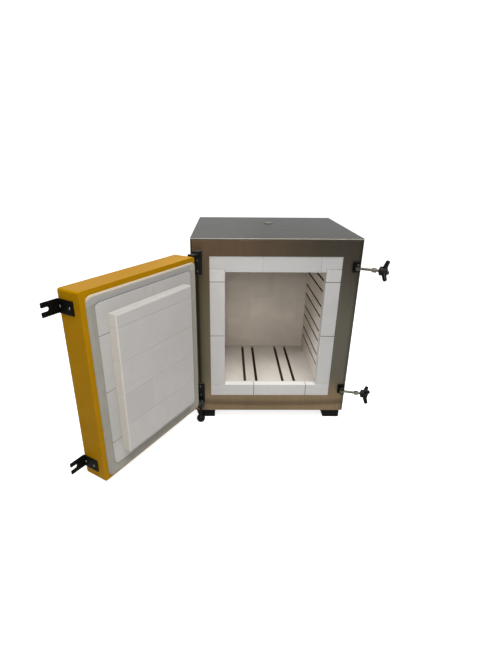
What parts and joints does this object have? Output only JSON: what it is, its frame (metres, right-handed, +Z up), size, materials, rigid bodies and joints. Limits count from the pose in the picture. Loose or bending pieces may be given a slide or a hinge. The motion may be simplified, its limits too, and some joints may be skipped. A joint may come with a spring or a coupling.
{
  "type": "ceramic kiln",
  "caption": "Front-loading electric ceramic kiln with a brick-lined firing chamber, an insulated side-hinged door standing open, swing-bolt latches with armed knobs, and block feet.",
  "frame": {"origin": "on the floor under the middle of the casing", "axes": "+X to the right seen from the front, +Y from the front to the back, +Z up; the front faces -Y"},
  "size_m": [1.1216, 1.1423, 0.8102],
  "materials": {
    "casing_steel": "brushed stainless sheet, dark reflections",
    "top_steel": "brushed stainless sheet, glossy grey",
    "door_paint": "satin powder coat, ochre yellow",
    "fire_brick": "matte porous insulating firebrick",
    "fibre_gasket": "matte ceramic fibre",
    "fibre_board": "matte fibre insulating board",
    "black_iron": "satin black",
    "steel_rod": "turned steel",
    "knob_black": "moulded black",
    "insert_steel": "blackened threaded steel",
    "terminal_brass": "turned brass",
    "foot_rubber": "matte black rubber",
    "element_wire": "oxidised resistance wire",
    "probe_ceramic": "matte ceramic sheath",
    "gland_plastic": "moulded black",
    "stopper_ceramic": "matte fired ceramic"
  },
  "bodies": {
    "cabinet": {"front_fascia": "casing_steel", "side_panel_left": "casing_steel", "side_panel_right": "casing_steel", "bottom_tray": "casing_steel", "rear_panel": "casing_steel", "rear_cover": "casing_steel", "top_panel": "top_steel", "jamb_bricks_left": "fire_brick", "jamb_bricks_right": "fire_brick", "lintel_bricks": "fire_brick", "sill_bricks": "fire_brick", "wall_bricks_left": "fire_brick", "wall_bricks_right": "fire_brick", "floor_bricks": "fire_brick", "roof_bricks": "fire_brick", "back_wall_bricks": "fire_brick", "backup_boards": "fibre_board", "hinge_bracket_upper": "black_iron", "hinge_bracket_lower": "black_iron", "latch_bracket_upper": "black_iron", "latch_bracket_lower": "black_iron", "ball_foot": "black_iron", "hinge_screws": "black_iron", "latch_screws_upper": "black_iron", "latch_screws_lower": "black_iron", "latch_pin_upper": "steel_rod", "latch_pin_lower": "steel_rod", "hinge_pin_upper": "steel_rod", "hinge_washers": "steel_rod", "vent_collar": "steel_rod", "cover_screws": "steel_rod", "element_terminals": "terminal_brass", "foot_front_left": "foot_rubber", "foot_front_right": "foot_rubber", "foot_rear_left": "foot_rubber", "foot_rear_right": "foot_rubber", "elements_left": "element_wire", "elements_right": "element_wire", "elements_floor": "element_wire", "thermocouple": "probe_ceramic", "cable_gland": "gland_plastic"},
    "door": {"door_shell": "door_paint", "door_insulation": "fibre_board", "door_base_bricks": "fire_brick", "door_plug_bricks": "fire_brick", "door_gasket": "fibre_gasket", "door_hinge_plate_upper": "black_iron", "door_hinge_plate_lower": "black_iron", "door_plate_screws": "black_iron", "latch_plate_upper": "black_iron", "latch_plate_lower": "black_iron"},
    "stopper": {"vent_plug": "stopper_ceramic"},
    "bolt_upper": {"eye_bolt_upper": "steel_rod"},
    "insert_upper": {"knob_insert_upper": "insert_steel"},
    "knob_upper": {"knob_upper": "knob_black"},
    "bolt_lower": {"eye_bolt_lower": "steel_rod"},
    "insert_lower": {"knob_insert_lower": "insert_steel"},
    "knob_lower": {"knob_lower": "knob_black"}
  },
  "joints": [
    {"name": "door_hinge", "type": "hinge", "parent": "cabinet", "child": "door", "pos_m": [-0.304, -0.3264, 0.425], "axis": [0, 0, 1], "range_deg": [-58.2, 121.8]},
    {"name": "stopper_lift", "type": "slide", "parent": "cabinet", "child": "stopper", "axis": [0, 0, 1], "range_m": [0, 0.12]},
    {"name": "bolt_swing_upper", "type": "hinge", "parent": "cabinet", "child": "bolt_upper", "pos_m": [0.311, -0.324, 0.698], "axis": [0, 0, 1], "range_deg": [-64, 60]},
    {"name": "knob_travel_upper", "type": "slide", "parent": "bolt_upper", "child": "insert_upper", "axis": [0.8988, -0.4384, 0], "range_m": [-0.0005, 0.015]},
    {"name": "knob_turn_upper", "type": "hinge", "parent": "insert_upper", "child": "knob_upper", "pos_m": [0.311, -0.324, 0.698], "axis": [0.8988, -0.4384, 0], "range_deg": [-120, 3600]},
    {"name": "bolt_swing_lower", "type": "hinge", "parent": "cabinet", "child": "bolt_lower", "pos_m": [0.311, -0.324, 0.1555], "axis": [0, 0, 1], "range_deg": [-76, 48]},
    {"name": "knob_travel_lower", "type": "slide", "parent": "bolt_lower", "child": "insert_lower", "axis": [0.9703, -0.2419, 0], "range_m": [-0.0005, 0.015]},
    {"name": "knob_turn_lower", "type": "hinge", "parent": "insert_lower", "child": "knob_lower", "pos_m": [0.311, -0.324, 0.1555], "axis": [0.9703, -0.2419, 0], "range_deg": [-120, 3600]}
  ],
  "couplings": [
    {"joint": "knob_travel_upper", "follows": "knob_turn_upper", "m_per_rad": 0.00023873},
    {"joint": "knob_travel_lower", "follows": "knob_turn_lower", "m_per_rad": 0.00023873}
  ]
}
